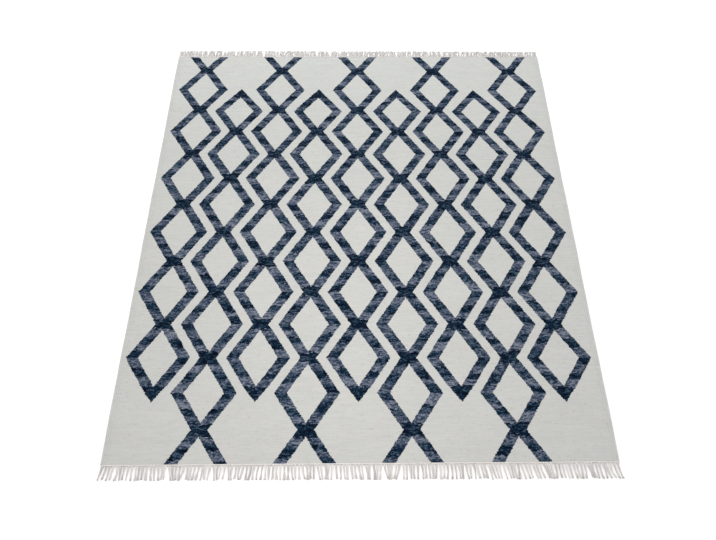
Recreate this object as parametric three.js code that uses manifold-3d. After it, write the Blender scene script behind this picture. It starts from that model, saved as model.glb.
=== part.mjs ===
// A flat-woven rug that lies flat: one cloth with corded side edges, and its warp ends left
// as a fringe of locks at both short ends.
// Millimetres, +Z up. X runs across the rug and Y along it, with the near end at -Y.
// The rug rests on z = 0, and its box is centred on the origin.

import * as THREE from "three";
import { mergeVertices } from "three/addons/utils/BufferGeometryUtils.js";
import Module from "manifold-3d";

const wasm = await Module();
wasm.setup();

// Cloth
const CLOTH_WIDTH = 1600;
const CLOTH_LENGTH = 2300;
const CLOTH_THICK = 4;

// Side edge: thicker warp cords that the weft turns round, seen as ribs along the cloth
const EDGE_CORDS = 3;
const CORD_WIDTH = 7;
const CORD_CROWN = 4.8;
const CORD_GROOVE = 3.5;
const CORD_STEPS = 5;
const EDGE_ROUND = 1.2;

// Fringe: a twined row holds the roots, and each lock is a group of warp ends lying on the floor
const PART_GAP = 0.3;
const ROW_DEPTH = 6;
const ROW_HEIGHT = 3.6;
const ROW_FACE = 3.3;
const ROW_INSET = 1.5;
const LOCKS_PER_END = 140;
const LOCK_CROWN_SHARE = 0.55;
const LOCK_LENGTH_SPREAD = 5;
const CORNER_SPLAY = 8;
const SPLAY_POWER = 14;
const SWEEP_START = 0.4;
const JITTER = 0.7;

// One row for each short end of the rug. Wide and fine are how far locks lean together in long
// and short waves, and sweep is how far those beside the last corner are combed towards it.
const FRINGE_ENDS = [
  { name: "fringe_near", turn: 0, length: 62, wide: 3.4, fine: 2.0, sweep: 8, phase: 0.6, seed: 11 },
  { name: "fringe_far", turn: Math.PI, length: 55, wide: 2.6, fine: 2.2, sweep: 0, phase: 2.9, seed: 71 },
];
const WIDE_WAVES = 2.7;
const FINE_WAVES = 8.3;

// One row for each section of a lock, from its root in the twined row to its cut end
const LOCK_SECTIONS = [
  { along: 0.0, width: 6.4, height: 3.0, bend: 0.0 },
  { along: 0.34, width: 5.6, height: 3.1, bend: 0.2 },
  { along: 0.72, width: 6.4, height: 2.6, bend: 0.72 },
  { along: 1.0, width: 7.2, height: 2.0, bend: 1.0 },
];

const clothFinish = new THREE.MeshStandardMaterial({ color: 0xd2d1cc, roughness: 0.95, metalness: 0 });
const nearYarnFinish = new THREE.MeshStandardMaterial({ color: 0xd6d0cc, roughness: 0.9, metalness: 0 });
const farYarnFinish = new THREE.MeshStandardMaterial({ color: 0xd6d0cc, roughness: 0.9, metalness: 0 });

function solidFrom(geometry) {
  const bare = geometry.clone();
  bare.deleteAttribute("normal");
  bare.deleteAttribute("uv");
  const merged = mergeVertices(bare, 1e-4);
  return new wasm.Manifold(
    new wasm.Mesh({
      numProp: 3,
      vertProperties: merged.attributes.position.array,
      triVerts: new Uint32Array(merged.index.array),
    }),
  );
}

function geometryFrom(solid) {
  const made = solid.getMesh();
  const geometry = new THREE.BufferGeometry();
  geometry.setAttribute("position", new THREE.BufferAttribute(made.vertProperties, 3));
  geometry.setIndex(new THREE.BufferAttribute(made.triVerts, 1));
  geometry.computeVertexNormals();
  return geometry;
}

// The ribbed top line of one side edge, from the outermost cord inwards, as (x, z) points
function edgeRibs() {
  const points = [];
  for (let cord = 0; cord < EDGE_CORDS; cord++) {
    const centre = -CLOTH_WIDTH / 2 + CORD_WIDTH * (cord + 0.5);
    for (let step = 1; step <= CORD_STEPS; step++) {
      const angle = (Math.PI * step) / CORD_STEPS;
      const x = centre - (Math.cos(angle) * CORD_WIDTH) / 2;
      const z = CORD_GROOVE + (CORD_CROWN - CORD_GROOVE) * Math.sin(angle);
      points.push(new THREE.Vector2(x, z));
    }
  }
  points.push(new THREE.Vector2(-CLOTH_WIDTH / 2 + CORD_WIDTH * (EDGE_CORDS + 0.5), CLOTH_THICK));
  return points;
}

// The cloth's section across its width, run along its whole length
function clothGeometry() {
  const half = [
    new THREE.Vector2(-CLOTH_WIDTH / 2 + EDGE_ROUND, 0),
    new THREE.Vector2(-CLOTH_WIDTH / 2 + EDGE_ROUND / 4, EDGE_ROUND / 2),
    new THREE.Vector2(-CLOTH_WIDTH / 2, CLOTH_THICK / 2),
    new THREE.Vector2(-CLOTH_WIDTH / 2 + EDGE_ROUND / 4, CORD_GROOVE),
    ...edgeRibs(),
  ];
  const otherHalf = half.map((p) => new THREE.Vector2(-p.x, p.y)).reverse();
  const section = new THREE.Shape([...half, ...otherHalf]);
  const geometry = new THREE.ExtrudeGeometry(section, { depth: CLOTH_LENGTH, bevelEnabled: false });
  geometry.rotateX(Math.PI / 2);
  geometry.translate(0, CLOTH_LENGTH / 2, 0);
  return geometry;
}

// The twined row, a low rounded ridge across the cloth's end, outside the gap
function rowGeometry() {
  const section = new THREE.Shape([
    new THREE.Vector2(0, 0),
    new THREE.Vector2(ROW_DEPTH, 0),
    new THREE.Vector2(ROW_DEPTH, ROW_FACE),
    new THREE.Vector2(ROW_DEPTH * 0.75, ROW_HEIGHT),
    new THREE.Vector2(ROW_DEPTH * 0.25, ROW_HEIGHT),
    new THREE.Vector2(0, ROW_FACE),
  ]);
  const width = CLOTH_WIDTH - 2 * ROW_INSET;
  const geometry = new THREE.ExtrudeGeometry(section, { depth: width, bevelEnabled: false });
  geometry.rotateX(Math.PI / 2);
  geometry.rotateZ(-Math.PI / 2);
  geometry.translate(width / 2, -CLOTH_LENGTH / 2 - PART_GAP, 0);
  return geometry;
}

// How far a lock's cut end stands to the side of its root. Locks drift together along the end,
// sweep towards its last corner and splay outwards at both.
function leanOf(share, end, jitter) {
  const side = 2 * share - 1;
  const swept = Math.max(0, (share - SWEEP_START) / (1 - SWEEP_START));
  const drift =
    end.wide * Math.sin(2 * Math.PI * WIDE_WAVES * share + end.phase) +
    end.fine * Math.sin(2 * Math.PI * FINE_WAVES * share + 2 * end.phase) +
    end.sweep * swept;
  const splay = CORNER_SPLAY * Math.sign(side) * Math.abs(side) ** SPLAY_POWER;
  return drift * (1 - Math.abs(side) ** SPLAY_POWER) + splay + JITTER * jitter;
}

// One lock: four-sided sections with a wide flat base on the floor and a narrower crown
function lockGeometry(rootX, lean, length) {
  const rootY = -CLOTH_LENGTH / 2 - PART_GAP - ROW_DEPTH / 2;
  const corners = [];
  for (const { along, width, height, bend } of LOCK_SECTIONS) {
    const x = rootX + lean * bend;
    const y = rootY - along * (length - ROW_DEPTH / 2);
    const base = width / 2;
    const crown = base * LOCK_CROWN_SHARE;
    corners.push([x - base, y, 0], [x + base, y, 0], [x + crown, y, height], [x - crown, y, height]);
  }
  const last = corners.length - 4;
  const faces = [0, 2, 1, 0, 3, 2, last, last + 1, last + 2, last, last + 2, last + 3];
  for (let ring = 0; ring < last; ring += 4) {
    for (let side = 0; side < 4; side++) {
      const a = ring + side;
      const b = ring + ((side + 1) % 4);
      faces.push(a, b + 4, a + 4, a, b, b + 4);
    }
  }
  const geometry = new THREE.BufferGeometry();
  geometry.setAttribute("position", new THREE.Float32BufferAttribute(corners.flat(), 3));
  geometry.setIndex(faces);
  return geometry;
}

// A whole fringe, built at the near end and turned about the rug's middle for the far one
function fringeGeometry(end) {
  THREE.MathUtils.seededRandom(end.seed);
  const pitch = (CLOTH_WIDTH - 2 * ROW_INSET) / LOCKS_PER_END;
  let fringe = solidFrom(rowGeometry());
  for (let i = 0; i < LOCKS_PER_END; i++) {
    const share = (i + 0.5) / LOCKS_PER_END;
    const rootX = (share - 0.5) * pitch * LOCKS_PER_END;
    const lean = leanOf(share, end, 2 * THREE.MathUtils.seededRandom() - 1);
    const length = end.length - LOCK_LENGTH_SPREAD * THREE.MathUtils.seededRandom() ** 2;
    fringe = fringe.add(solidFrom(lockGeometry(rootX, lean, length)));
  }
  const geometry = geometryFrom(fringe);
  geometry.rotateZ(end.turn);
  return geometry;
}

function piece(name, geometry, finish) {
  const mesh = new THREE.Mesh(geometry, finish);
  mesh.name = name;
  return mesh;
}

const rug = new THREE.Group();
rug.name = "rug";
rug.add(piece("field", clothGeometry(), clothFinish));
rug.add(piece(FRINGE_ENDS[0].name, fringeGeometry(FRINGE_ENDS[0]), nearYarnFinish));
rug.add(piece(FRINGE_ENDS[1].name, fringeGeometry(FRINGE_ENDS[1]), farYarnFinish));

// The near fringe is the longer one, so the cloth sits a little past the middle of the whole rug
const reach = new THREE.Box3().setFromObject(rug);
const middle = reach.getCenter(new THREE.Vector3());
rug.position.set(-middle.x, -middle.y, 0);

export default rug;
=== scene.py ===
# A flat-woven rug with linked diamonds and fringed ends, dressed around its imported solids.
# Metres, +Z up. X runs across the rug and Y along it, with the near end at -Y.

import math
import random

import bpy
from mathutils import Matrix, Vector


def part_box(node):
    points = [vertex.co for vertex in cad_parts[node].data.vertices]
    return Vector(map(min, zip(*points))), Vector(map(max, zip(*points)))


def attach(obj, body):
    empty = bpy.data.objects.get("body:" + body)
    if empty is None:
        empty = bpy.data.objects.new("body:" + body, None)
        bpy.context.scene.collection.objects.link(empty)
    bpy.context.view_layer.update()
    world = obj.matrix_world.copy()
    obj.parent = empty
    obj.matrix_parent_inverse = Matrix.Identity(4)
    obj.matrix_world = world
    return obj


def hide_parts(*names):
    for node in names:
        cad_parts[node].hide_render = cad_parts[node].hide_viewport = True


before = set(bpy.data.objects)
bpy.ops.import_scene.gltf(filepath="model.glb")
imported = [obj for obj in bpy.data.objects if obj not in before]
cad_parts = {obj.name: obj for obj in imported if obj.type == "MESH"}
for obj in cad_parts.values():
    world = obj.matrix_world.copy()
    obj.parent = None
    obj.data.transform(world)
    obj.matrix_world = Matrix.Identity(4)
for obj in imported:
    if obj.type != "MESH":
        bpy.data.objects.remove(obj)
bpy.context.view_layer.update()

MM = 0.001
CLOTH_LOW, CLOTH_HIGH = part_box("field")
CLOTH_WIDTH = CLOTH_HIGH.x - CLOTH_LOW.x
CLOTH_LENGTH = CLOTH_HIGH.y - CLOTH_LOW.y
CLOTH_MIDDLE = (CLOTH_LOW.x + CLOTH_HIGH.x) / 2
CLOTH_CENTRE = Vector((CLOTH_MIDDLE, (CLOTH_LOW.y + CLOTH_HIGH.y) / 2, 0))

# Weave: the weft covers the warps, and each pair of warps shows as a rib on both faces
EDGE_CORDS = 3
CORD_WIDTH = 7 * MM
CORD_HEIGHT = 4.6 * MM
CORD_GROOVE = 3.0 * MM
CORD_STEPS = 5
EDGE_BAND = EDGE_CORDS * CORD_WIDTH
RIB_COUNT = 283
RIB_PITCH = (CLOTH_WIDTH - 2 * EDGE_BAND) / RIB_COUNT
RIB_HEIGHT = 4.0 * MM
RIB_GROOVE = 3.5 * MM
GRAIN_LENGTH = 3.2 * MM
CLOTH_ROWS = 70
SWELL_WIDE = 0.14 * MM
SWELL_FINE = 0.09 * MM
SIDE_SWAY = 0.5 * MM
SIDE_RIPPLE = 0.3 * MM
END_ROUNDING = ((0.0, 0.78), (0.6 * MM, 0.95), (1.6 * MM, 1.0))

# Diamond chart. Chains stand side by side; odd and even ones cross at alternate rows.
CHAIN_COUNT = 9
CHAIN_PITCH = 168 * MM
# The rug is woven by hand. Its chains stand a little left of its middle, and draw together
# towards the far end
CHAINS_ASIDE = -4 * MM
CHAIN_DRAW_IN = -3.3 * MM
# Rows of crossings and corners, from the near end. The weaver beats the ends harder than the
# middle, and the far end hardest, so most rows lie beyond where an even pitch puts them
ROW_COUNT = 16
ROW_PITCH = 157 * MM
FIRST_ROW = -1
FIRST_ROW_LEVEL = -22 * MM
ROW_BULGE = 23 * MM
ROW_SWAY = -15 * MM
# How much the woven ends slant, and the rows of the chart at the far end, as the rise for each
# step to the right
NEAR_END_SLANT = 0.0066
FAR_END_SLANT = -0.0036
FAR_ROW_SLANT = -0.011
STRIPE_WIDTH_NEAR = 42 * MM
STRIPE_WIDTH_FAR = 39.5 * MM
# How far apart the middles of a chain's two stripes are, where they cross and where they turn
WAIST = 12 * MM
CORNER_SPREAD = 174 * MM
# Even chains start with a tip at the near end, and odd ones end with a tip at the far end: the
# rows where they do, and how steeply the tips close
NEAR_TIP_ROW = 1.03
FAR_TIP_ROW = 11.76
TIP_STEEPNESS = 1.15
# The stripes are dark this far along from a crossing
CROSS_BAND = 27 * MM
# Blocks of yarn along a leg: how many legs swap their count, how far the changes stray and
# lean, and how much lighter or darker single blocks and crossings are
SWAPPED_LEGS = 0.1
BLOCK_STRAY = 0.34
BLOCK_LEAN = 0.3
BLOCK_LIFT = (-0.12, 0.16)
CROSSING_LIFT = -0.12
# A colour change strays from its line: in chains as it wanders, in rows where a warp is early
STRIPE_WANDER = 0.045
WARP_EARLY = 0.03
WANDER_ACROSS = 9.0
WANDER_ALONG = 38.0
EARLY_RUNS = 7.0

# Fringe: groups of warp ends held by a twined row
LOCKS_PER_END = 140
YARN_RADIUS = 1.15 * MM
YARN_RINGS = 14
YARN_SIDES = 6
PLY_TURN = 26 * MM
PLY_GROOVE = 0.76
ROW_DEPTH = 6 * MM
ROW_INSET = 1.5 * MM
ROW_STRAND_RADIUS = 1.45 * MM
ROW_RISE = 0.45 * MM
ROW_STITCH = 9.0 * MM
ROW_STEP = 1.8 * MM
ROW_CORE_RADIUS = 1.6 * MM
ROW_CORE_ASIDE = 1.6 * MM
ROW_CORE_LEVEL = 2.9 * MM
ROW_PLY_TURN = 7 * MM
ROW_CORE_TURN = 9 * MM
ROOT_LEVEL = 1.8 * MM
# Each yarn of a lock: how far it lies from the lock's middle, and how high on the others, in mm
YARN_PLACES = [(-3.3, 0.0), (-1.1, 0.0), (1.1, 0.0), (3.3, 0.0), (-2.2, 1.7), (0.0, 1.7), (2.2, 1.7)]
LOCK_HEART = 0.85 * MM
LOCK_SETTLE = 0.6
LOCK_SHORTER = 5 * MM
LOCK_LEAN = 1.4 * MM
LOCK_BOW = 1.1 * MM
LOCK_WIND = (0.8, 3.4)
LOCK_LOOSE = (0.75, 1.35)
LEAN_POWER = 1.4
NECK_WIDTH = 0.6
NECK_LOOSE = 0.26
TIP_FLATTEN = 0.55
# How many locks cling together, and how tightly at most
CLUMP_SIZES = (2, 3, 3, 4, 5)
CLUMP_STRENGTH = 0.4
CLUMP_POWER = 1.5
YARN_SHORTER = 3.5 * MM
YARN_SWAY = (0.2 * MM, 0.7 * MM)
YARN_SWAY_TURN = 5.0
YARN_FAN = 1.7 * MM
FAN_LIMIT = 1.5
FAN_POWER = 3
YARN_LIFT = 0.5 * MM
CLUMP_LIFT = 5.0 * MM
YARN_TAPER = 0.25
TAPER_START = 0.8
# A yarn reaches the floor in this share of its length
DROP_SHARE = 0.2
WIDE_WAVES = 2.7
FINE_WAVES = 8.3
SPLAY_POWER = 14
SWEEP_START = 0.4
# Yarn tones differ at random from yarn to yarn and lock to lock, as the cotton's own; the far fringe's
# greyer, narrower range of tones is painted shade
# Both fringes are laid out at the near end, their lengths from left to right. The far one is
# then turned about, so that its longer locks lie at the left
# The twined rows' tones are painted light: the near row is lightened to cover the shade along the cloth's
# end, and the far row is darkened as painted shade
FRINGE_ENDS = [
    {
        "name": "fringe_near", "turn": 1, "lengths": (61 * MM, 67 * MM), "wide": 3.4 * MM, "fine": 2.0 * MM,
        "sweep": 8 * MM, "splay": 11 * MM, "phase": 0.6, "loose": 0.85, "yarn_tones_and_shade": (-0.4, 1.3),
        "row_painted_light": 1.0, "seed": 11,
    },
    {
        "name": "fringe_far", "turn": -1, "lengths": (52 * MM, 60 * MM), "wide": 2.6 * MM, "fine": 2.2 * MM,
        "sweep": 0.0, "splay": 3 * MM, "phase": 2.9, "loose": 2.2, "yarn_tones_and_shade": (0.0, 0.6),
        "row_painted_light": -0.3, "seed": 71,
    },
]

# Bare margins in the flat map, round each yarn's cell and round the cloth, and where a yarn's
# cut ends lie in its cell
CELL_MARGIN = 0.06
SHEET_MARGIN = 0.004
CAP_START = 0.3
CAP_STEP = 0.06

# Yarn colours, as screen values from 0 to 255
IVORY_WARM = (190, 189, 186)
IVORY_COOL = (188, 189, 186)
SLUB = (178, 173, 166)
NAVY_SHADES = [(0.0, (0, 4, 18)), (0.35, (3, 25, 45)), (0.68, (14, 41, 60)), (1.0, (72, 85, 101))]
SLATE_SHADES = [(0.0, (10, 31, 51)), (0.35, (50, 64, 82)), (0.7, (82, 90, 106)), (1.0, (117, 122, 135))]
COTTON = (241, 236, 233)
# Streaks of the hand-spun weft in the dyed stripes: length, height and lean, and their shares
FINE_STREAK = {"Length": 15 * MM, "Height": 4.4 * MM, "Lean": -0.06}
WIDE_STREAK = {"Length": 30 * MM, "Height": 8.6 * MM}
WIDE_LEAN = 0.14
WIDE_SHARE = 0.42
FINE_SHARE = 0.66
SPECK_SHARE = 0.4
TONE_LOW = 0.42
TONE_HIGH = 1.04
# Streaks in the undyed cloth: its passes, and the thick brown slubs
PASS_STREAK = {"Length": 45 * MM, "Height": 4.6 * MM, "Lean": 0.0, "Seed": 0.4}
SLUB_STREAK = {"Length": 16 * MM, "Height": 3.6 * MM, "Lean": 0.0, "Seed": 8.2}
# How much each effect lightens and darkens the undyed cloth
PASS_TONE = 0.08
BAND_TONE = 0.04
MOTTLE_TONE = 0.06
# How fine they are, as changes in each metre
BAND_ACROSS = 1.2
BAND_ALONG = 26.0
MOTTLE_SCALE = 7.0
WARMTH_SCALE = 13.0
# Where in its streaks a slub starts to show, and how much it covers the ground at most
SLUB_START = 0.83
SLUB_SHARE = 0.65
# Each pass of weft waves a little as it crosses the rug
PASS_WAVE = 12 * MM
PASS_WAVE_SCALE = 9.0
# How dark the painted shade in the grooves is: between grains, between ribs and beside edge cords
GRAIN_SHADE = 0.16
RIB_SHADE = 0.05
CORD_SHADE = 0.1
GROOVE_SHARPNESS = 3.0
WOOL_FUZZ = (0.97, 1.07)
# How much each form stands out in the cloth's relief
RIB_RELIEF = 0.24
GRAIN_RELIEF = 0.30
FIBRE_RELIEF = 0.12
MOTTLE_RELIEF = 0.8
# Cotton: how dark the painted shade between plies is, how dark and light whole yarns are, and its fuzz
PLY_SHADE = 0.84
YARN_SHADES = (0.58, 1.1)
COTTON_FUZZ = (0.95, 1.03)

# View and light
VIEW_FROM = CLOTH_CENTRE + Vector((-0.0137, -3.5739, 3.0003))
VIEW_DOWN = math.radians(42.155)
VIEW_TURN = math.radians(0.165)
LENS = 62.14
SENSOR = 36.0
# Each softbox: its name, size, power and colour, where it stands and where it points
LAMPS = [
    ("strip_over_middle", (0.3, 1.6), 2.6, (1.0, 0.96, 0.9), (-0.07, -0.6, 0.85), (-0.07, -0.6, 0.0)),
    ("panel_beyond_far_end", (1.2, 1.2), 29.5, (0.94, 1.0, 1.0), (-0.3, 2.6, 2.0), (0.0, 0.6, 0.0)),
]


def linear(shade, alpha=1.0):
    """A screen colour as the light values that a shader takes."""
    parts = [value / 255 for value in shade]
    return (*[((p + 0.055) / 1.055) ** 2.4 if p > 0.04045 else p / 12.92 for p in parts], alpha)


class Graph:
    """Short calls that add nodes to a tree and give back their output sockets."""

    def __init__(self, tree):
        self.tree = tree

    def feed(self, socket, value):
        if isinstance(value, bpy.types.NodeSocket):
            self.tree.links.new(value, socket)
        else:
            socket.default_value = value

    def add(self, kind, inputs, output=0, **settings):
        node = self.tree.nodes.new(kind)
        for name, value in settings.items():
            setattr(node, name, value)
        for place, value in inputs.items():
            self.feed(node.inputs[place], value)
        return node.outputs[output]

    def math(self, operation, *values):
        return self.add("ShaderNodeMath", dict(enumerate(values)), operation=operation)

    def join(self, x, y, z=0.0):
        return self.add("ShaderNodeCombineXYZ", {0: x, 1: y, 2: z})

    def split(self, vector):
        node = self.tree.nodes.new("ShaderNodeSeparateXYZ")
        self.feed(node.inputs[0], vector)
        return node.outputs[0], node.outputs[1], node.outputs[2]

    def chance(self, x, y, z=0.0):
        """An even random value for each whole-number place."""
        return self.add("ShaderNodeTexWhiteNoise", {"Vector": self.join(x, y, z)}, output="Value")

    def noise(self, vector, scale, detail=2.0, roughness=0.5):
        inputs = {"Vector": vector, "Scale": scale, "Detail": detail, "Roughness": roughness}
        return self.add("ShaderNodeTexNoise", inputs)

    def spread(self, value, low, high, to_low=0.0, to_high=1.0):
        inputs = {0: value, 1: low, 2: high, 3: to_low, 4: to_high}
        return self.add("ShaderNodeMapRange", inputs)

    def blend(self, share, first, second):
        return self.add("ShaderNodeMix", {0: share, 2: first, 3: second}, data_type="FLOAT")

    def tint(self, share, first, second, how="MIX"):
        inputs = {0: share, 6: first, 7: second}
        return self.add("ShaderNodeMix", inputs, output=2, data_type="RGBA", blend_type=how)

    def ramp(self, share, stops):
        node = self.tree.nodes.new("ShaderNodeValToRGB")
        first, last = node.color_ramp.elements[0], node.color_ramp.elements[1]
        first.position, first.color = stops[0][0], linear(stops[0][1])
        last.position, last.color = stops[-1][0], linear(stops[-1][1])
        for place, shade in stops[1:-1]:
            node.color_ramp.elements.new(place).color = linear(shade)
        self.feed(node.inputs[0], share)
        return node.outputs[0]

    def use(self, group, inputs):
        """Places a group and gives back its outputs."""
        node = self.tree.nodes.new("ShaderNodeGroup")
        node.node_tree = group
        for name, value in inputs.items():
            self.feed(node.inputs[name], value)
        return node.outputs


def new_group(name, inputs, outputs):
    """An empty shader node group with named sockets: its graph, what comes in, and what goes out."""
    tree = bpy.data.node_groups.new(name, "ShaderNodeTree")
    for label, kind in inputs.items():
        tree.interface.new_socket(label, in_out="INPUT", socket_type=f"NodeSocket{kind}")
    for label, kind in outputs.items():
        tree.interface.new_socket(label, in_out="OUTPUT", socket_type=f"NodeSocket{kind}")
    source = tree.nodes.new("NodeGroupInput")
    sink = tree.nodes.new("NodeGroupOutput")
    return Graph(tree), source.outputs, sink.inputs


def fibre_group():
    """Fine fibres on a yarn: short streaks along it and a loose fuzz between them."""
    graph, given, made = new_group(
        "fibres", {"Place": "Vector", "Along": "Float", "Across": "Float"},
        {"Tone": "Float", "Height": "Float"},
    )
    x, y, z = graph.split(given["Place"])
    place = graph.join(
        graph.math("MULTIPLY", x, given["Along"]),
        graph.math("MULTIPLY", y, given["Across"]),
        graph.math("MULTIPLY", z, given["Across"]),
    )
    streak = graph.noise(place, 1.0, 3.0, 0.6)
    fuzz = graph.noise(given["Place"], 900.0, 2.0, 0.6)
    both = graph.math("ADD", graph.math("MULTIPLY", streak, 0.7), graph.math("MULTIPLY", fuzz, 0.3))
    graph.feed(made["Tone"], graph.spread(both, 0.3, 0.7))
    graph.feed(made["Height"], both)
    return graph.tree


def streak_group():
    """Weft passes: each pass has a tone of its own that drifts along the yarn."""
    graph, given, made = new_group(
        "weft_streaks",
        {"Place": "Vector", "Length": "Float", "Height": "Float", "Lean": "Float", "Seed": "Float"},
        {"Tone": "Float"},
    )
    x, y, _ = graph.split(given["Place"])
    leaning = graph.math("ADD", y, graph.math("MULTIPLY", x, given["Lean"]))
    sway = graph.noise(graph.join(x, y), PASS_WAVE_SCALE, 1.0)
    level = graph.math("ADD", leaning, graph.math("MULTIPLY", sway, PASS_WAVE))
    turn = graph.math("FLOOR", graph.math("DIVIDE", level, given["Height"]))
    along = graph.math("DIVIDE", x, given["Length"])
    place = graph.join(along, graph.math("MULTIPLY", turn, 5.31), given["Seed"])
    tone = graph.noise(place, 1.0, 1.5, 0.5)
    graph.feed(made["Tone"], graph.spread(tone, 0.3, 0.7))
    return graph.tree


def warp_group():
    """Counts the ribs and the two warps in each: their numbers, the warp's centre and the rib's rise."""
    graph, given, made = new_group(
        "warp_count", {"Across": "Float"},
        {"Rib": "Float", "Rise": "Float", "Warp": "Float", "Centre": "Float", "Edge cord": "Float"},
    )
    x = graph.math("SUBTRACT", given["Across"], CLOTH_MIDDLE)
    out = graph.math("ABSOLUTE", x)
    inner = CLOTH_WIDTH / 2 - EDGE_BAND
    cord = graph.math("GREATER_THAN", out, inner)
    width = graph.blend(cord, RIB_PITCH, CORD_WIDTH)
    start = graph.blend(cord, -inner, graph.math("MULTIPLY", graph.math("SIGN", x), CLOTH_WIDTH / 2))
    count = graph.math("DIVIDE", graph.math("SUBTRACT", x, start), width)
    part = graph.math("FRACT", count)
    warp = graph.math("FLOOR", graph.math("MULTIPLY", count, 2.0))
    middle = graph.math("MULTIPLY_ADD", warp, 0.5, 0.25)
    centre = graph.math("MULTIPLY_ADD", middle, width, start)
    graph.feed(made["Rib"], graph.math("FLOOR", count))
    graph.feed(made["Warp"], warp)
    graph.feed(made["Centre"], graph.math("ADD", centre, CLOTH_MIDDLE))
    graph.feed(made["Rise"], graph.math("SINE", graph.math("MULTIPLY", part, math.pi)))
    graph.feed(made["Edge cord"], cord)
    return graph.tree


def chain_group():
    """One set of diamond chains: stripes that cross, part, turn at a corner and cross again."""
    graph, given, made = new_group(
        "diamond_chain",
        {"Across": "Float", "Along": "Float", "First chain": "Float", "First crossing": "Float",
         "Tip row": "Float", "Tip side": "Float"},
        {"Inside": "Float", "Part": "Float", "Side": "Float", "Offset": "Float", "Chain": "Float"},
    )
    shifted = graph.math("SUBTRACT", given["Across"], given["First chain"])
    nearest = graph.math("ROUND", graph.math("DIVIDE", shifted, 2.0))
    last = graph.math("SUBTRACT", (CHAIN_COUNT - 1) / 2, given["First chain"])
    pair = graph.math("MAXIMUM", 0.0, graph.math("MINIMUM", nearest, last))
    whole = graph.math("MULTIPLY", pair, 2.0)
    aside = graph.math("SUBTRACT", shifted, whole)
    run = graph.math("PINGPONG", graph.math("SUBTRACT", given["Along"], given["First crossing"]), 1.0)
    past_tip = graph.math("SUBTRACT", given["Along"], given["Tip row"])
    tip = graph.math("MULTIPLY", graph.math("MULTIPLY", past_tip, given["Tip side"]), TIP_STEEPNESS)
    part = graph.math("MINIMUM", run, tip)
    reach = (CORNER_SPREAD - WAIST) / 2 / CHAIN_PITCH
    spread = graph.math("MULTIPLY_ADD", part, reach, WAIST / 2 / CHAIN_PITCH)
    offset = graph.math("SUBTRACT", graph.math("ABSOLUTE", aside), spread)
    halves = [width / 2 / CHAIN_PITCH for width in (STRIPE_WIDTH_NEAR, STRIPE_WIDTH_FAR)]
    half = graph.spread(given["Along"], FIRST_ROW, FIRST_ROW + ROW_COUNT - 1, *halves)
    graph.feed(made["Inside"], graph.math("SUBTRACT", half, graph.math("ABSOLUTE", offset)))
    graph.feed(made["Part"], part)
    graph.feed(made["Side"], graph.math("GREATER_THAN", aside, 0.0))
    graph.feed(made["Offset"], graph.math("DIVIDE", offset, half))
    graph.feed(made["Chain"], graph.math("ADD", whole, given["First chain"]))
    return graph.tree


def block_group():
    """Yarn changes along a stripe's leg: dark at the crossing, then slate and dark by turns."""
    graph, given, made = new_group(
        "yarn_blocks",
        {"Along": "Float", "Part": "Float", "Side": "Float", "Offset": "Float", "Chain": "Float",
         "Stray": "Float"},
        {"Slate": "Float", "Seed": "Float", "Lift": "Float"},
    )
    row = graph.math("FLOOR", given["Along"])
    odd = graph.math("FLOORED_MODULO", row, 2.0)
    leg = graph.math("ADD", graph.math("MULTIPLY", row, 2.0), given["Side"])
    four = graph.math("SUBTRACT", 1.0, graph.math("ABSOLUTE", graph.math("SUBTRACT", given["Side"], odd)))
    swapped = graph.math("LESS_THAN", graph.chance(given["Chain"], leg, 3.0), SWAPPED_LEGS)
    four = graph.math("ABSOLUTE", graph.math("SUBTRACT", four, swapped))
    count = graph.math("ADD", four, 3.0)
    band = CROSS_BAND / ROW_PITCH
    share = graph.math("DIVIDE", graph.math("SUBTRACT", given["Part"], band), 1 - band)
    place = graph.math("MULTIPLY", share, count)
    line = graph.math("ROUND", place)
    late = graph.math("SUBTRACT", graph.chance(given["Chain"], leg, line), 0.5)
    lean = graph.math("SUBTRACT", graph.chance(given["Chain"], leg, graph.math("ADD", line, 9.0)), 0.5)
    place = graph.math("MULTIPLY_ADD", late, BLOCK_STRAY, place)
    place = graph.math("MULTIPLY_ADD", graph.math("MULTIPLY", lean, given["Offset"]), BLOCK_LEAN, place)
    place = graph.math("MULTIPLY_ADD", graph.math("SUBTRACT", given["Stray"], 0.5), BLOCK_STRAY, place)
    block = graph.math("MINIMUM", graph.math("FLOOR", place), graph.math("SUBTRACT", count, 1.0))
    even = graph.math("SUBTRACT", 1.0, graph.math("FLOORED_MODULO", block, 2.0))
    past = graph.math("GREATER_THAN", place, 0.0)
    graph.feed(made["Slate"], graph.math("MULTIPLY", even, past))
    seed = graph.chance(given["Chain"], leg, graph.math("ADD", block, 20.0))
    graph.feed(made["Seed"], seed)
    lift = graph.spread(seed, 0.0, 1.0, *BLOCK_LIFT)
    graph.feed(made["Lift"], graph.blend(past, CROSSING_LIFT, lift))
    return graph.tree


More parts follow.
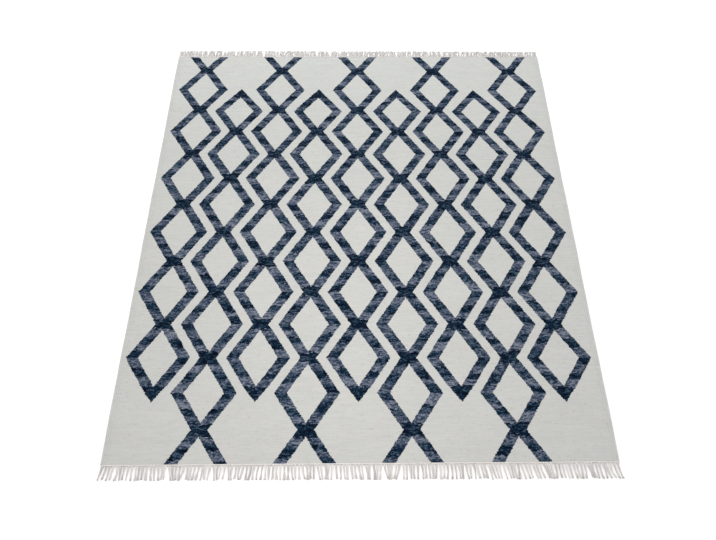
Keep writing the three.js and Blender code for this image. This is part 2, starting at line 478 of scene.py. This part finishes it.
def stripe_yarn(graph, streaks, blocks, place, speck, chart_along, chain):
    """The colour of one set of chains, and 1 where its stripes lie."""
    fine = graph.use(streaks, {"Place": place, "Seed": chain["Chain"], **FINE_STREAK})["Tone"]
    kind = graph.use(blocks, {
        "Along": chart_along, "Part": chain["Part"], "Side": chain["Side"],
        "Offset": chain["Offset"], "Chain": chain["Chain"], "Stray": fine,
    })
    lean = graph.spread(kind["Seed"], 0.0, 1.0, -WIDE_LEAN, WIDE_LEAN)
    wide = graph.use(streaks, {"Place": place, "Lean": lean, "Seed": kind["Seed"], **WIDE_STREAK})["Tone"]
    tone = graph.math("MULTIPLY", wide, WIDE_SHARE)
    tone = graph.math("ADD", tone, graph.math("MULTIPLY", fine, FINE_SHARE))
    tone = graph.math("ADD", tone, graph.math("MULTIPLY", speck, SPECK_SHARE))
    tone = graph.spread(tone, TONE_LOW, TONE_HIGH)
    tone = graph.math("ADD", tone, kind["Lift"])
    dark = graph.ramp(tone, NAVY_SHADES)
    slate = graph.ramp(tone, SLATE_SHADES)
    return graph.tint(kind["Slate"], dark, slate), graph.math("GREATER_THAN", chain["Inside"], 0.0)


def cloth_material(fibres, streaks, warps, chains, blocks):
    """Undyed weft with two sets of dyed diamond chains, over ribbed warps."""
    material = bpy.data.materials.new("woven_cloth")
    material.use_nodes = True
    graph = Graph(material.node_tree)
    shader = material.node_tree.nodes["Principled BSDF"]
    place = graph.add("ShaderNodeTexCoord", {}, output="Object")
    x, y, _ = graph.split(place)
    chart = graph.add("ShaderNodeUVMap", {}, uv_map="chart")
    across, along, _ = graph.split(chart)
    warp = graph.use(warps, {"Across": x})

    # A colour change follows the warps, a little early or late on each, and wanders as it is woven
    to_centre = graph.math("DIVIDE", graph.math("SUBTRACT", warp["Centre"], x), CHAIN_PITCH)
    stepped = graph.math("ADD", across, to_centre)
    drifting = graph.join(
        graph.math("MULTIPLY", warp["Centre"], WANDER_ACROSS), graph.math("MULTIPLY", y, WANDER_ALONG),
    )
    wander = graph.noise(drifting, 1.0, 2.0)
    stepped = graph.math("MULTIPLY_ADD", graph.math("SUBTRACT", wander, 0.5), STRIPE_WANDER, stepped)
    short = graph.math("FLOOR", graph.math("MULTIPLY", along, EARLY_RUNS))
    early = graph.math("SUBTRACT", graph.chance(warp["Warp"], short), 0.5)
    beaten = graph.math("MULTIPLY_ADD", early, WARP_EARLY, along)

    even = graph.use(chains, {
        "Across": stepped, "Along": beaten, "First chain": 0.0, "First crossing": 1.0,
        "Tip row": NEAR_TIP_ROW, "Tip side": 1.0,
    })
    odd = graph.use(chains, {
        "Across": stepped, "Along": beaten, "First chain": 1.0, "First crossing": 0.0,
        "Tip row": FAR_TIP_ROW, "Tip side": -1.0,
    })
    speck = graph.chance(warp["Warp"], graph.math("FLOOR", graph.math("DIVIDE", y, GRAIN_LENGTH)))
    even_colour, even_here = stripe_yarn(graph, streaks, blocks, place, speck, along, even)
    odd_colour, odd_here = stripe_yarn(graph, streaks, blocks, place, speck, along, odd)

    # Undyed ground: faint passes, wider bands, a soft mottle, and a brown slub here and there
    passes = graph.use(streaks, {"Place": place, **PASS_STREAK})["Tone"]
    slub = graph.use(streaks, {"Place": place, **SLUB_STREAK})["Tone"]
    banded = graph.join(graph.math("MULTIPLY", x, BAND_ACROSS), graph.math("MULTIPLY", y, BAND_ALONG))
    bands = graph.noise(banded, 1.0, 2.0)
    mottle = graph.noise(place, MOTTLE_SCALE, 3.0)
    fibre = graph.use(fibres, {"Place": place, "Along": 300.0, "Across": 1500.0})
    light = graph.math("MULTIPLY_ADD", graph.math("SUBTRACT", passes, 0.5), PASS_TONE, 1.0)
    light = graph.math("MULTIPLY_ADD", graph.math("SUBTRACT", bands, 0.5), BAND_TONE, light)
    light = graph.math("MULTIPLY_ADD", graph.math("SUBTRACT", mottle, 0.5), MOTTLE_TONE, light)
    warmth = graph.spread(graph.noise(place, WARMTH_SCALE, 3.0, 0.6), 0.36, 0.64)
    wool = graph.tint(warmth, linear(IVORY_COOL), linear(IVORY_WARM))
    wool = graph.tint(graph.spread(slub, SLUB_START, 1.0, 0.0, SLUB_SHARE), wool, linear(SLUB))
    ground = graph.tint(1.0, wool, graph.join(light, light, light), "MULTIPLY")
    colour = graph.tint(even_here, ground, even_colour)
    colour = graph.tint(odd_here, colour, odd_colour)

    # Grains: the weft shows over every other rib, pass by pass, in a brick lay
    shift = graph.math("MULTIPLY", graph.math("FLOORED_MODULO", warp["Rib"], 2.0), 0.5)
    beat = graph.math("ADD", graph.math("DIVIDE", y, GRAIN_LENGTH), shift)
    grain = graph.math("ABSOLUTE", graph.math("SINE", graph.math("MULTIPLY", beat, math.pi)))

    # Painted shade darkens the colour in the grooves: between the grains, between the ribs and beside the
    # edge cords
    rib_groove_shade = graph.math("POWER", graph.math("SUBTRACT", 1.0, warp["Rise"]), GROOVE_SHARPNESS)
    groove_shade_strength = graph.blend(warp["Edge cord"], RIB_SHADE, CORD_SHADE)
    shade = graph.math("SUBTRACT", 1.0, graph.math("MULTIPLY", rib_groove_shade, groove_shade_strength))
    grain_groove_shade = graph.math("POWER", graph.math("SUBTRACT", 1.0, grain), GROOVE_SHARPNESS)
    shade = graph.math("SUBTRACT", shade, graph.math("MULTIPLY", grain_groove_shade, GRAIN_SHADE))
    fuzz = graph.spread(fibre["Tone"], 0.0, 1.0, *WOOL_FUZZ)
    shade = graph.math("MULTIPLY", shade, fuzz)
    colour = graph.tint(1.0, colour, graph.join(shade, shade, shade), "MULTIPLY")
    relief = graph.math("MULTIPLY", graph.math("POWER", warp["Rise"], 0.6), RIB_RELIEF)
    relief = graph.math("MULTIPLY_ADD", graph.math("MULTIPLY", grain, warp["Rise"]), GRAIN_RELIEF, relief)
    relief = graph.math("MULTIPLY_ADD", fibre["Height"], FIBRE_RELIEF, relief)
    relief = graph.math("MULTIPLY_ADD", mottle, MOTTLE_RELIEF, relief)
    bump = graph.add("ShaderNodeBump", {"Strength": 0.75, "Distance": MM, "Height": relief}, output="Normal")

    graph.feed(shader.inputs["Base Color"], colour)
    graph.feed(shader.inputs["Roughness"], graph.spread(fibre["Tone"], 0.0, 1.0, 0.88, 1.0))
    graph.feed(shader.inputs["Normal"], bump)
    shader.inputs["Specular IOR Level"].default_value = 0.04
    shader.inputs["Sheen Weight"].default_value = 0.01
    shader.inputs["Sheen Roughness"].default_value = 0.6
    return material


def cotton_material(fibres):
    """Undyed cotton warp ends, with painted shade between the plies and a tone for each yarn."""
    material = bpy.data.materials.new("warp_cotton")
    material.use_nodes = True
    graph = Graph(material.node_tree)
    shader = material.node_tree.nodes["Principled BSDF"]
    place = graph.add("ShaderNodeTexCoord", {}, output="Object")
    ply = graph.add("ShaderNodeAttribute", {}, output="Fac", attribute_name="ply")
    yarn = graph.add("ShaderNodeAttribute", {}, output="Fac", attribute_name="yarn")
    fibre = graph.use(fibres, {"Place": place, "Along": 1400.0, "Across": 350.0})
    # Painted shade: the colour darkens in the grooves between the plies
    ply_groove_shade = graph.spread(ply, 0.0, 1.0, PLY_SHADE, 1.0)
    light = graph.math("MULTIPLY", ply_groove_shade, graph.spread(yarn, -1.0, 1.0, *YARN_SHADES))
    light = graph.math("MULTIPLY", light, graph.spread(fibre["Tone"], 0.0, 1.0, *COTTON_FUZZ))
    colour = graph.tint(1.0, linear(COTTON), graph.join(light, light, light), "MULTIPLY")
    height = graph.math("MULTIPLY_ADD", fibre["Height"], 0.35, ply)
    inputs = {"Strength": 0.6, "Distance": 0.3 * MM, "Height": height}
    bump = graph.add("ShaderNodeBump", inputs, output="Normal")
    graph.feed(shader.inputs["Base Color"], colour)
    graph.feed(shader.inputs["Roughness"], graph.spread(fibre["Tone"], 0.0, 1.0, 0.82, 0.95))
    graph.feed(shader.inputs["Normal"], bump)
    shader.inputs["Specular IOR Level"].default_value = 0.25
    shader.inputs["Sheen Weight"].default_value = 0.08
    return material


def chart_place(x, y):
    """Where a point of the cloth lies in the chart: chains from the left, rows from the near end."""
    share = (y - CLOTH_LOW.y) / CLOTH_LENGTH
    pitch = CHAIN_PITCH + CHAIN_DRAW_IN * share ** 3
    across = (CHAIN_COUNT - 1) / 2 + (x - CLOTH_MIDDLE - CHAINS_ASIDE) / pitch
    up = y - CLOTH_LOW.y - FAR_ROW_SLANT * share * (x - CLOTH_MIDDLE) - FIRST_ROW_LEVEL
    part = up / (ROW_PITCH * (ROW_COUNT - 1))
    ahead = ROW_BULGE * math.sin(math.pi * part) + ROW_SWAY * math.sin(math.tau * part)
    return across, FIRST_ROW + (up - ahead) / ROW_PITCH


def cloth_columns():
    """(x, thickness, middle height) across the cloth, through the edge cords and every rib."""
    columns = []
    for cord in range(EDGE_CORDS):
        for step in range(0 if cord else 1, CORD_STEPS):
            angle = math.pi * step / CORD_STEPS
            x = CORD_WIDTH * (cord + 0.5 - 0.5 * math.cos(angle))
            thick = CORD_GROOVE + (CORD_HEIGHT - CORD_GROOVE) * math.sin(angle)
            columns.append((CLOTH_LOW.x + x, thick, CORD_HEIGHT / 2))
    start = CLOTH_LOW.x + EDGE_BAND
    columns.append((start, CORD_GROOVE, RIB_HEIGHT / 2))
    edge = list(reversed(columns))
    for half in range(1, 2 * RIB_COUNT):
        thick = RIB_HEIGHT if half % 2 else RIB_GROOVE
        columns.append((start + RIB_PITCH * half / 2, thick, RIB_HEIGHT / 2))
    return columns + [(2 * CLOTH_MIDDLE - x, thick, middle) for x, thick, middle in edge]


def cloth_rows():
    """(y, share of the full thickness) along the cloth, rounded over at both ends."""
    inner = [CLOTH_LOW.y + END_ROUNDING[-1][0], CLOTH_HIGH.y - END_ROUNDING[-1][0]]
    rows = [(CLOTH_LOW.y + inset, share) for inset, share in END_ROUNDING]
    for row in range(1, CLOTH_ROWS):
        rows.append((inner[0] + (inner[1] - inner[0]) * row / CLOTH_ROWS, 1.0))
    return rows + [(CLOTH_HIGH.y - inset, share) for inset, share in reversed(END_ROUNDING)]


def swell(x, y):
    """How much the beaten cloth is thicker here than elsewhere."""
    wide = math.sin(5.3 * x + 1.7 * y + 0.8) * math.sin(4.1 * y - 2.3 * x)
    fine = math.sin(31 * y + 3.0 * math.sin(6.0 * x)) * math.sin(17 * x + 1.9)
    return SWELL_WIDE * wide + SWELL_FINE * fine


def edge_drift(x, y):
    """The woven sides draw in and out a little as they grow."""
    side = (x - CLOTH_MIDDLE) / (CLOTH_WIDTH / 2)
    sway = SIDE_SWAY * math.sin(7.1 * y + 2.0 * side) + SIDE_RIPPLE * math.sin(23.0 * y + 5.0 * side)
    return sway * abs(side) ** 6


def slant(x, y):
    """The ends are not quite square to the sides: how far the cloth here lies beyond or short."""
    share = (y - CLOTH_LOW.y) / CLOTH_LENGTH
    return (NEAR_END_SLANT * (1 - share) + FAR_END_SLANT * share) * (x - CLOTH_MIDDLE)


def mesh_object(name, points, faces, material):
    mesh = bpy.data.meshes.new(name)
    mesh.from_pydata(points, [], faces)
    mesh.shade_smooth()
    mesh.materials.append(material)
    piece = bpy.data.objects.new(name, mesh)
    bpy.context.scene.collection.objects.link(piece)
    return piece


def make_cloth(material):
    """The woven cloth: a closed ribbed sheet, the same on both faces, with corded sides."""
    columns, rows = cloth_columns(), cloth_rows()
    wide = len(columns)
    ring = 2 * wide + 2
    points = []
    for y, share in rows:
        top, bottom = [], []
        for x, thick, middle in columns:
            half = thick * share / 2
            placed, along = x + edge_drift(x, y), y + slant(x, y)
            top.append((placed, along, middle + half + swell(x, y) * share))
            bottom.append((placed, along, middle - half))
        sides = []
        for x in (CLOTH_LOW.x, CLOTH_HIGH.x):
            sides.append((x + edge_drift(x, y), y + slant(x, y), CORD_HEIGHT / 2))
        left, right = sides
        points += [*top, right, *reversed(bottom), left]
    faces = []
    for row in range(len(rows) - 1):
        near, far = row * ring, (row + 1) * ring
        for spot in range(ring):
            after = (spot + 1) % ring
            faces.append((near + spot, near + after, far + after, far + spot))
    for start, turned in ((0, False), ((len(rows) - 1) * ring, True)):
        for spot in range(wide - 1):
            cap = (start + spot, start + ring - 2 - spot, start + ring - 3 - spot, start + spot + 1)
            faces.append(tuple(reversed(cap)) if turned else cap)
        left_cap = (start + ring - 1, start + ring - 2, start)
        right_cap = (start + wide - 1, start + wide + 1, start + wide)
        for cap in (left_cap, right_cap):
            faces.append(tuple(reversed(cap)) if turned else cap)
    piece = mesh_object("cloth", points, faces, material)
    lay_out_cloth(piece.data)
    return piece


def lay_out_cloth(mesh):
    """Both faces share one flat map, and the chart tells the weave where its diamonds are."""
    flat = mesh.uv_layers.new(name="OFBake")
    chart = mesh.uv_layers.new(name="chart")
    spots = []
    for vertex in mesh.vertices:
        x, y, _ = vertex.co
        shares = ((x - CLOTH_LOW.x) / CLOTH_WIDTH, (y - CLOTH_LOW.y) / CLOTH_LENGTH)
        spots.append((*shares, *chart_place(x, y)))
    inside = 1 - 2 * SHEET_MARGIN
    for loop in mesh.loops:
        over, up, across, along = spots[loop.vertex_index]
        flat.data[loop.index].uv = (SHEET_MARGIN + inside * over, SHEET_MARGIN + inside * up)
        chart.data[loop.index].uv = (across, along)


class Tubes:
    """Gathers twisted yarns into one mesh, each with its own cell of the flat map."""

    def __init__(self, cells):
        self.points, self.faces, self.maps = [], [], []
        self.ply, self.yarn = [], []
        self.cells_across = math.ceil(math.sqrt(cells))
        self.used = 0

    def cell(self):
        size = 1 / self.cells_across
        corner = (self.used % self.cells_across * size, self.used // self.cells_across * size)
        self.used += 1
        return corner, size

    def add(self, route, radius, turn, tone, taper=0.0):
        """One yarn along a route, its plies turning once in each turn's length."""
        start = len(self.points)
        (left, low), size = self.cell()
        sides, rings = YARN_SIDES, len(route)
        inside = 1 - 2 * CELL_MARGIN
        angle = tone * math.tau
        for ring, spot in enumerate(route):
            before, after = route[max(ring - 1, 0)], route[min(ring + 1, rings - 1)]
            along = (after - before).normalized()
            side = along.cross(Vector((0, 0, 1))).normalized()
            up = side.cross(along)
            if ring:
                angle += math.tau * (spot - route[ring - 1]).length / turn
            thinned = max(0.0, (ring / (rings - 1) - TAPER_START) / (1 - TAPER_START))
            wide = radius * (1 - taper * thinned)
            for corner in range(sides):
                crest = corner % 2 == 0
                reach = wide * (1.0 if crest else PLY_GROOVE)
                at = angle + math.tau * corner / sides
                self.points.append(spot + side * (reach * math.cos(at)) + up * (reach * math.sin(at)))
                self.ply.append(1.0 if crest else 0.0)
                self.yarn.append(tone)
        for ring in range(rings - 1):
            for corner in range(sides):
                a = start + ring * sides + corner
                b = start + ring * sides + (corner + 1) % sides
                self.faces.append((a, b, b + sides, a + sides))
                for right, further in ((0, 0), (1, 0), (1, 1), (0, 1)):
                    over = CELL_MARGIN + inside * (corner + right) / sides
                    rise = CELL_MARGIN + inside * (ring + further) / (rings - 1)
                    self.maps.append((left + size * over, low + size * rise))
        for first, order in ((start, -1), (start + (rings - 1) * sides, 1)):
            cap = [first + corner for corner in range(sides)][::order]
            self.faces.append(tuple(cap))
            level = CELL_MARGIN if order < 0 else 1 - CELL_MARGIN
            for corner in range(sides):
                self.maps.append((left + size * (CAP_START + CAP_STEP * corner), low + size * level))

    def make(self, name, material):
        piece = mesh_object(name, self.points, self.faces, material)
        mesh = piece.data
        for label, values in (("ply", self.ply), ("yarn", self.yarn)):
            mesh.attributes.new(label, "FLOAT", "POINT").data.foreach_set("value", values)
        flat = mesh.uv_layers.new(name="OFBake")
        flat.data.foreach_set("uv", [part for pair in self.maps for part in pair])
        return piece


def lean_of(share, end):
    """How far a lock's cut end stands to the side of its root, before any clumping."""
    side = 2 * share - 1
    drift = end["wide"] * math.sin(math.tau * WIDE_WAVES * share + end["phase"])
    drift += end["fine"] * math.sin(math.tau * FINE_WAVES * share + 2 * end["phase"])
    drift += end["sweep"] * max(0.0, (share - SWEEP_START) / (1 - SWEEP_START))
    corner = abs(side) ** SPLAY_POWER
    return drift * (1 - corner) + end["splay"] * math.copysign(corner, side)


def lock_clumps(draw):
    """For each lock, how many places its tip is drawn aside by those it clings to, and how tightly."""
    clumps = []
    while len(clumps) < LOCKS_PER_END:
        count = draw.choice(CLUMP_SIZES)
        middle = (count - 1) / 2
        strength = CLUMP_STRENGTH * draw.random() ** CLUMP_POWER
        clumps += [((middle - spot) * strength, strength) for spot in range(count)]
    return clumps[:LOCKS_PER_END]


def yarn_route(root, lock, place, draw):
    """One warp end: out of the twined row, down to the floor, and on to its cut end."""
    apart, above = place[0] * MM, place[1] * MM - LOCK_HEART
    length = lock["length"] - draw.uniform(0, YARN_SHORTER)
    sway, phase = draw.uniform(*YARN_SWAY), draw.uniform(0, math.tau)
    fan = draw.gauss(0, YARN_FAN) * min(lock["loose"], FAN_LIMIT)
    lift = draw.uniform(0.0, YARN_LIFT) + (1 - lock["gather"]) * draw.uniform(0.0, CLUMP_LIFT)
    near_width = NECK_WIDTH + NECK_LOOSE * lock["loose"]
    far_width = lock["loose"] * lock["gather"]
    route = []
    for ring in range(YARN_RINGS):
        share = ring / (YARN_RINGS - 1)
        turn = lock["wind"] * share
        over = apart * math.cos(turn) - above * math.sin(turn)
        rise = LOCK_HEART + (above * math.cos(turn) + apart * math.sin(turn)) * LOCK_SETTLE + lift
        swing = sway * math.sin(phase + YARN_SWAY_TURN * share) * share
        swing += lock["bow"] * math.sin(math.pi * share)
        x = root.x + over * (near_width + (far_width - near_width) * share)
        x += lock["lean"] * share ** LEAN_POWER + fan * share ** FAN_POWER + swing
        drop = min(1.0, share / DROP_SHARE)
        ease = drop * drop * (3 - 2 * drop)
        low = YARN_RADIUS + max(0.0, rise) * (1 - TIP_FLATTEN * share * share)
        route.append(Vector((x, root.y - share * length, root.z + (low - root.z) * ease)))
    return route


def twined_row(tubes, half, y, tone):
    """Two strands that turn about each other, and a straight core, across the end of the cloth."""
    count = round(2 * half / ROW_STEP)
    for strand in range(2):
        route = []
        for ring in range(count + 1):
            x = -half + 2 * half * ring / count
            angle = math.tau * x / ROW_STITCH + math.pi * strand
            reach = ROW_DEPTH / 2 - ROW_STRAND_RADIUS
            z = ROW_STRAND_RADIUS + ROW_RISE * (1 + math.sin(angle))
            route.append(Vector((x, y + reach * math.cos(angle), z)))
        tubes.add(route, ROW_STRAND_RADIUS, ROW_PLY_TURN, tone)
    core = []
    for ring in range(count + 1):
        core.append(Vector((-half + 2 * half * ring / count, y + ROW_CORE_ASIDE, ROW_CORE_LEVEL)))
    tubes.add(core, ROW_CORE_RADIUS, ROW_CORE_TURN, tone)


def make_fringe(end, material):
    """A whole fringe, laid out at the near end and turned about the rug's middle for the far one."""
    draw = random.Random(end["seed"])
    tubes = Tubes(LOCKS_PER_END * len(YARN_PLACES) + 3)
    low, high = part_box(end["name"])
    cloth_end = high.y if end["turn"] > 0 else -low.y
    half = CLOTH_WIDTH / 2 - ROW_INSET
    row_middle = cloth_end - ROW_DEPTH / 2
    pitch = 2 * half / LOCKS_PER_END
    first, last = end["lengths"]
    for number, (pull, strength) in enumerate(lock_clumps(draw)):
        share = (number + 0.5) / LOCKS_PER_END
        corner = abs(2 * share - 1) ** SPLAY_POWER
        root = Vector(((share - 0.5) * 2 * half, row_middle, ROOT_LEVEL))
        lock = {
            "lean": lean_of(share, end) + pull * pitch * (1 - corner) + draw.gauss(0, LOCK_LEAN),
            "length": first + (last - first) * share - LOCK_SHORTER * draw.random() ** 2 - ROW_DEPTH / 2,
            "gather": 1 - strength * (1 - corner),
            "bow": draw.gauss(0, LOCK_BOW),
            "wind": draw.uniform(*LOCK_WIND),
            "loose": end["loose"] * draw.uniform(*LOCK_LOOSE),
        }
        # Tone of the lock and its yarns: a random spread of the cotton's own, made greyer at the far end as
        # painted shade
        lock_tone = draw.uniform(*end["yarn_tones_and_shade"])
        for place in YARN_PLACES:
            tone = (lock_tone + draw.uniform(*end["yarn_tones_and_shade"])) / 2
            tubes.add(yarn_route(root, lock, place, draw), YARN_RADIUS, PLY_TURN, tone, YARN_TAPER)
    # The row's tone is painted light: lighter at the near end, and darker at the far end as painted shade
    twined_row(tubes, half, row_middle, end["row_painted_light"])
    if end["turn"] < 0:
        tubes.points = [Vector((-p.x, -p.y, p.z)) for p in tubes.points]
    woven_end = CLOTH_LOW.y if end["turn"] > 0 else CLOTH_HIGH.y
    for point in tubes.points:
        point.y += slant(point.x, woven_end)
    return tubes.make(end["name"] + "_yarns", material)


def make_floor():
    """A wide pale floor, just below the rug."""
    mesh = bpy.data.meshes.new("floor")
    reach = 40.0
    level = -0.3 * MM
    corners = [(-reach, -reach, level), (reach, -reach, level), (reach, reach, level), (-reach, reach, level)]
    mesh.from_pydata(corners, [], [(0, 1, 2, 3)])
    floor = bpy.data.objects.new("floor", mesh)
    bpy.context.scene.collection.objects.link(floor)
    material = bpy.data.materials.new("pale_floor")
    material.use_nodes = True
    shader = material.node_tree.nodes["Principled BSDF"]
    shader.inputs["Base Color"].default_value = (1, 1, 1, 1)
    shader.inputs["Roughness"].default_value = 1.0
    shader.inputs["Specular IOR Level"].default_value = 0.0
    mesh.materials.append(material)


def make_light():
    world = bpy.data.worlds.new("studio")
    world.use_nodes = True
    world.node_tree.nodes["Background"].inputs["Color"].default_value = (1, 1, 1, 1)
    world.node_tree.nodes["Background"].inputs["Strength"].default_value = 1.0
    bpy.context.scene.world = world
    for name, size, energy, shade, place, aim in LAMPS:
        lamp = bpy.data.lights.new(name, "AREA")
        lamp.shape = "RECTANGLE"
        lamp.size, lamp.size_y = size
        lamp.energy = energy
        lamp.color = shade
        softbox = bpy.data.objects.new(name, lamp)
        softbox.location = place
        softbox.rotation_euler = (Vector(aim) - Vector(place)).to_track_quat("-Z", "Y").to_euler()
        softbox.visible_camera = False
        bpy.context.scene.collection.objects.link(softbox)
    bpy.context.scene.view_settings.view_transform = "Standard"


def make_camera():
    data = bpy.data.cameras.new("camera")
    data.lens, data.sensor_width = LENS, SENSOR
    camera = bpy.data.objects.new("camera", data)
    turn = Matrix.Rotation(-VIEW_TURN, 3, "Z") @ Matrix.Rotation(math.pi / 2 - VIEW_DOWN, 3, "X")
    camera.rotation_euler = turn.to_euler()
    camera.location = VIEW_FROM
    bpy.context.scene.collection.objects.link(camera)
    bpy.context.scene.camera = camera


def dress():
    fibres = fibre_group()
    cloth = make_cloth(cloth_material(fibres, streak_group(), warp_group(), chain_group(), block_group()))
    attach(cloth, "root")
    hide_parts("field")
    cotton = cotton_material(fibres)
    for end in FRINGE_ENDS:
        fringe = make_fringe(end, cotton)
        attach(fringe, "root")
        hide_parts(end["name"])


make_camera()
make_light()
make_floor()
dress()
